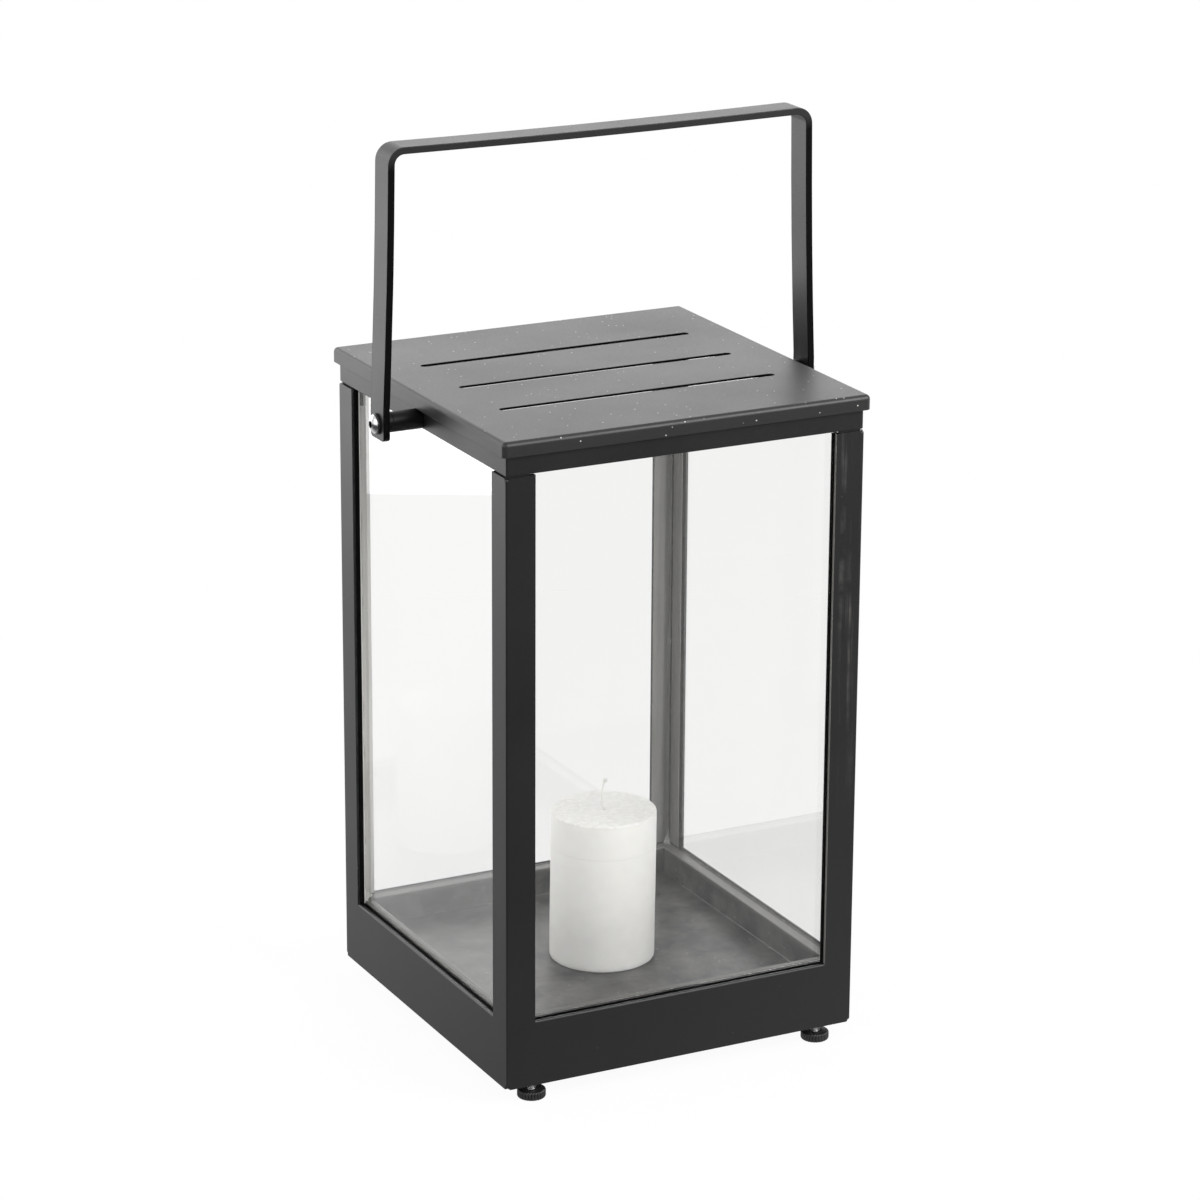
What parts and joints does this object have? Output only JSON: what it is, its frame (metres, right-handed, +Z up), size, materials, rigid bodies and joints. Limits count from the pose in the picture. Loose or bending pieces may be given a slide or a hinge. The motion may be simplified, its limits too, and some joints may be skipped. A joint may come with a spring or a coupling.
{
  "type": "candle lantern",
  "caption": "Square glazed candle lantern with a lift-off slotted lid, a swinging flat-bar bail handle, a floor tray, screw-adjusted feet and a pillar candle.",
  "frame": {"origin": "on the ground under the middle of the lantern, at the bottom of the feet", "axes": "+Z up, -Y towards the front pane, +X along the handle's pivot axis to the right"},
  "size_m": [0.3172, 0.256, 0.5964],
  "materials": {
    "powder_coat": "fine textured matt black powder coat",
    "glass": "clear float glass",
    "gasket": "matt black sealing strip",
    "silicone": "translucent silicone bead",
    "bright_steel": "bright zinc-plated steel",
    "black_plastic": "moulded black plastic",
    "wax": "smooth ivory-white wax",
    "wick": "waxed cotton wick"
  },
  "bodies": {
    "frame": {"base_skirt": "powder_coat", "post_front_left": "powder_coat", "post_front_right": "powder_coat", "post_back_left": "powder_coat", "post_back_right": "powder_coat", "top_ring": "powder_coat", "bracket_front_left": "powder_coat", "bracket_front_right": "powder_coat", "bracket_back_left": "powder_coat", "bracket_back_right": "powder_coat", "rail_front": "powder_coat", "rail_back": "powder_coat", "rail_left": "powder_coat", "rail_right": "powder_coat", "floor_tray": "powder_coat", "glass_front": "glass", "glass_back": "glass", "glass_left": "glass", "glass_right": "glass", "gasket_front_left": "gasket", "gasket_front_right": "gasket", "gasket_back_left": "gasket", "gasket_back_right": "gasket", "silicone_front_left": "silicone", "silicone_front_right": "silicone", "silicone_back_left": "silicone", "silicone_back_right": "silicone", "foot_plate_front_left": "powder_coat", "foot_plate_front_right": "powder_coat", "foot_plate_back_left": "powder_coat", "foot_plate_back_right": "powder_coat", "foot_bushing_front_left": "bright_steel", "foot_bushing_front_right": "bright_steel", "foot_bushing_back_left": "bright_steel", "foot_bushing_back_right": "bright_steel", "standoff_left": "powder_coat", "standoff_right": "powder_coat", "collar_left": "powder_coat", "collar_right": "powder_coat", "washer_left": "black_plastic", "washer_right": "black_plastic", "pivot_screw_left": "bright_steel", "pivot_screw_right": "bright_steel"},
    "handle": {"handle": "powder_coat"},
    "lid": {"lid_cap": "powder_coat"},
    "candle": {"candle": "wax", "wick": "wick"},
    "foot_front_left": {"foot_stud_front_left": "bright_steel", "foot_disc_front_left": "black_plastic"},
    "foot_front_right": {"foot_stud_front_right": "bright_steel", "foot_disc_front_right": "black_plastic"},
    "foot_back_left": {"foot_stud_back_left": "bright_steel", "foot_disc_back_left": "black_plastic"},
    "foot_back_right": {"foot_stud_back_right": "bright_steel", "foot_disc_back_right": "black_plastic"}
  },
  "joints": [
    {"name": "handle_swing", "type": "hinge", "parent": "frame", "child": "handle", "pos_m": [0, 0, 0.4204], "axis": [1, 0, 0], "range_deg": [-128, 128]},
    {"name": "lid_lift", "type": "slide", "parent": "frame", "child": "lid", "axis": [0, 0, 1], "range_m": [0, 0.09]},
    {"name": "candle_lift", "type": "slide", "parent": "frame", "child": "candle", "axis": [0, 0, 1], "range_m": [0, 0.25]},
    {"name": "foot_front_left_height", "type": "slide", "parent": "frame", "child": "foot_front_left", "axis": [0, 0, 1], "range_m": [-0.01, 0.005]},
    {"name": "foot_front_right_height", "type": "slide", "parent": "frame", "child": "foot_front_right", "axis": [0, 0, 1], "range_m": [-0.01, 0.005]},
    {"name": "foot_back_left_height", "type": "slide", "parent": "frame", "child": "foot_back_left", "axis": [0, 0, 1], "range_m": [-0.01, 0.005]},
    {"name": "foot_back_right_height", "type": "slide", "parent": "frame", "child": "foot_back_right", "axis": [0, 0, 1], "range_m": [-0.01, 0.005]}
  ]
}
